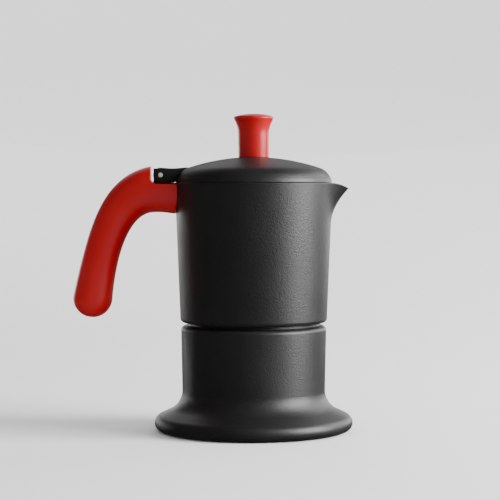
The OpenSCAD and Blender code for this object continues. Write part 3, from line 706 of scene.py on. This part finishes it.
paint(arm, black_coat)
told(arm)
belongs(arm, "lid_group", None)
paint(lid, black_coat, cast_metal)
under = paint_where(lid, 1, lambda r, z, away, up: (up < -0.05 and r < lid_r - 0.5) or (
    away < -0.05 and up < 0.3))
print("lid faces inside:", under)
belongs(lid, "lid_group", "lid")

# %% Hinge pin
pin = turn("hinge_pin_rod", [(0.6, -5.68, 0), (1.68, -5.4, 0.4), (1.68, 5.4, 0.4), (0.6, 5.68, 0)],
           closed=False, around=48)
pin.matrix_world = Matrix.Translation((pin_x * MM, 0, pin_z * MM)) @ Matrix.Rotation(math.pi / 2, 4, "X")
settle(pin, "hinge_pin_rod")
paint(pin, pin_metal)
told(pin)
belongs(pin, "lid_group", "hinge_pin")

# %% [markdown]
# ## Knob
# The knob is turned plastic: a stem that flares to a crowned top, so that two fingers can lift the lid
# without touching hot metal.

# %% Knob
stem_r, knob_r, lip_round, flare_R = 8.75, 11.35, 1.2, 17.5
knob_low, knob_high, crown_h, stem_taper = 155.65, 180.55, 1.3, 0.2
lip_r, lip_z = knob_r - lip_round, knob_high - crown_h - lip_round
swing = math.acos(1 - (knob_r - stem_r - stem_taper) / (flare_R + lip_round))
flare_z = lip_z - (flare_R + lip_round) * math.sin(swing)
flare, lip = [], []
for i in range(13):
    a = swing * i / 12
    flare.append((stem_r + stem_taper + flare_R * (1 - math.cos(a)), flare_z + flare_R * math.sin(a), 0))
for i in range(1, 9):
    a = -swing + (math.radians(76) + swing) * i / 8
    lip.append((lip_r + lip_round * math.cos(a), lip_z + lip_round * math.sin(a), 0))
crown = [(lip_r * (1 - i / 10), knob_high - crown_h * (1 - i / 10) ** 2, 0) for i in range(1, 10)]
knob = turn("knob_grip", [(1.9, knob_low, 0), (stem_r, knob_low, 0.3)] + flare + lip + crown, closed=False,
            around=128, smooth=50)
paint(knob, red_grip)
told(knob)
belongs(knob, "lid_group", "knob")

# %% [markdown]
# ## Handle
# The handle is one moulding with a round section. A circle is extruded along a curve that leaves the rim
# level, bends down and ends in a round tip. At each step the ring is moved, turned to face along the
# curve, and scaled to the handle's thickness there.

# %% Handle's curve
root, bend_1 = Vector((-44.5, 137.2)), Vector((-68.8, 141.3))
bend_2, tip = Vector((-83.6, 128.9)), Vector((-91.8, 75.8))
thickness = (13.5, 13.9, 7.8, 11.19)


def along(points, t):
    a, b, c, d = points
    return (1 - t) ** 3 * a + 3 * t * (1 - t) ** 2 * b + 3 * t * t * (1 - t) * c + t ** 3 * d


def heading(t):
    way = ((1 - t) ** 2 * (bend_1 - root) + 2 * t * (1 - t) * (bend_2 - bend_1) + t * t * (tip - bend_2))
    return math.atan2(way.y, way.x)


stations = [(root + Vector((8, -0.7)), thickness[0], heading(0))]
for i in range(41):
    t = i / 40
    stations.append((along((root, bend_1, bend_2, tip), t), along(thickness, t), heading(t)))
last = Vector((math.cos(heading(1)), math.sin(heading(1))))
for i in range(1, 12):
    a = math.pi / 2 * i / 11.6
    stations.append((tip + last * thickness[3] * math.sin(a), thickness[3] * math.cos(a), heading(1)))
print("handle:", len(stations), "rings")

# %% Handle's solid
begin()
first, first_r, first_way = stations[0]
bpy.ops.mesh.primitive_circle_add(vertices=72, radius=first_r * MM, fill_type="NGON")
handle = bpy.context.object
handle.matrix_world = (Matrix.Translation((first.x * MM, 0, first.y * MM)) @
                       Matrix.Rotation(math.pi / 2 - first_way, 4, "Y"))
settle(handle, "handle_grip")
bpy.ops.object.mode_set(mode="EDIT")
bpy.ops.mesh.select_all(action="SELECT")
for (c0, r0, w0), (c1, r1, w1) in zip(stations, stations[1:]):
    step = (c1 - c0) * MM
    centre = (c1.x * MM, 0, c1.y * MM)
    bpy.ops.mesh.extrude_region_move(TRANSFORM_OT_translate={"value": (step.x, 0, step.y)})
    bpy.ops.transform.rotate(value=(w1 - w0), orient_axis="Y", center_override=centre)
    bpy.ops.transform.resize(value=(r1 / r0,) * 3, center_override=centre)
bpy.ops.mesh.merge(type="CENTER")
bpy.ops.mesh.select_all(action="SELECT")
bpy.ops.mesh.normals_make_consistent(inside=False)
begin()
told(handle)

# %% Cut the notch, the wall and the lug's slot
land_z, step_x, lug_back, lug_front = 140.7, -58.4, -56.9, -46.9
notch_round = 3.2
notch = [(0, 190), (step_x, 190)]
for i in range(9):
    a = math.radians(180 + 90 * i / 8)
    notch.append((step_x + notch_round * (1 + math.cos(a)), land_z + notch_round * (1 + math.sin(a))))
combine(handle, slab("notch_tool", notch + [(0, land_z)], 30), "DIFFERENCE")


def wall_cutter(gap):
    """A solid cone with the collector's outside shape, grown by the gap."""
    return turn("wall_tool", [(1, 60, 0), (wall_r(60) + gap, 60, 0), (wall_r(160) + gap, 160, 0), (1, 160, 0)],
                closed=False, around=192)


combine(handle, wall_cutter(0.3), "DIFFERENCE")
slot_half = lug_half + 0.25
combine(handle, block("slot_tool", (lug_back - 0.25, -slot_half, 134), (-20, slot_half, 150)), "DIFFERENCE")
combine(handle, block("tang_tool", (-68.7, -3.25, 130.2), (-40, 3.25, 138.8)), "DIFFERENCE")
combine(handle, block("pad_tool", (-48.1, -9.25, 130.2), (-40, 9.25, 138.8)), "DIFFERENCE")
soften(handle, 0.5, segments=3, angle=38, smooth=38)
paint(handle, red_grip)
told(handle)
belongs(handle, "upper_chamber", "handle")

# %% [markdown]
# ## Bracket
# An aluminium bracket is riveted to the cup. Its tang holds the handle, and its upright lug carries the
# hinge. A low toe at the lug's foot fills the corner between the handle and the rim.

# %% Lug and bracket
bracket = block("handle_lug", (lug_back, -lug_half, 131), (lug_front, lug_half, pin_z + 3.8))
toe_top = 141.35
combine(bracket, block("lug_toe", (lug_front - 1, -lug_half, 131), (-42, lug_half, toe_top)), "UNION")
combine(bracket, block("tang_tool", (-68.4, -3, 130.5), (-42, 3, 138.5)), "UNION")
combine(bracket, block("pad_tool", (-47.6, -9, 130.5), (-40, 9, 138.5)), "UNION")
combine(bracket, wall_cutter(0.02), "DIFFERENCE")
soften(bracket, 0.3, segments=2)
paint(bracket, black_coat)
told(bracket)
belongs(bracket, "upper_chamber", "handle_bracket")

# %% [markdown]
# ## Valve spring
# A small coil holds the valve's stem on its seat, and is pressed shorter when the stem moves out. The coil
# is a copy of the frame's, merged into one skin.

# %% Valve spring
frame_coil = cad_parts["valve_spring"]
coil = bpy.data.objects.new("valve_coil", frame_coil.data.copy())
coil.matrix_world = frame_coil.matrix_world
bpy.context.scene.collection.objects.link(coil)
settle(coil, "valve_coil")
bpy.ops.object.mode_set(mode="EDIT")
bpy.ops.mesh.select_all(action="SELECT")
bpy.ops.mesh.remove_doubles(threshold=0.000002)
begin()
coil.select_set(True)
bpy.context.view_layer.objects.active = coil
bpy.ops.object.shade_smooth_by_angle(angle=math.radians(50))
paint(coil, bright_steel)
told(coil)
belongs(coil, "boiler_body", "valve_spring")
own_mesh(coil)

# %% [markdown]
# ## Pieces kept from the frame
# The small turned and punched pieces have their right shape already. They keep it and get their finish.

# %% Finishes for the kept pieces
kept = {"valve_body": brass, "valve_cap": brass, "valve_seal": silicone, "valve_poppet": bright_steel,
        "funnel": bare_metal, "funnel_strainer": bare_metal, "gasket": silicone,
        "filter_plate": bare_metal, "riser_tube": cast_metal, "riser_cap": bare_metal,
        "bracket_rivets": bright_steel, "handle_screw": bright_steel, "knob_screw": bright_steel,
        "knob_washer": bright_steel}
for name, material in kept.items():
    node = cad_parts[name]
    node.data.materials.clear()
    node.data.materials.append(material)
print("kept pieces:", len(kept))
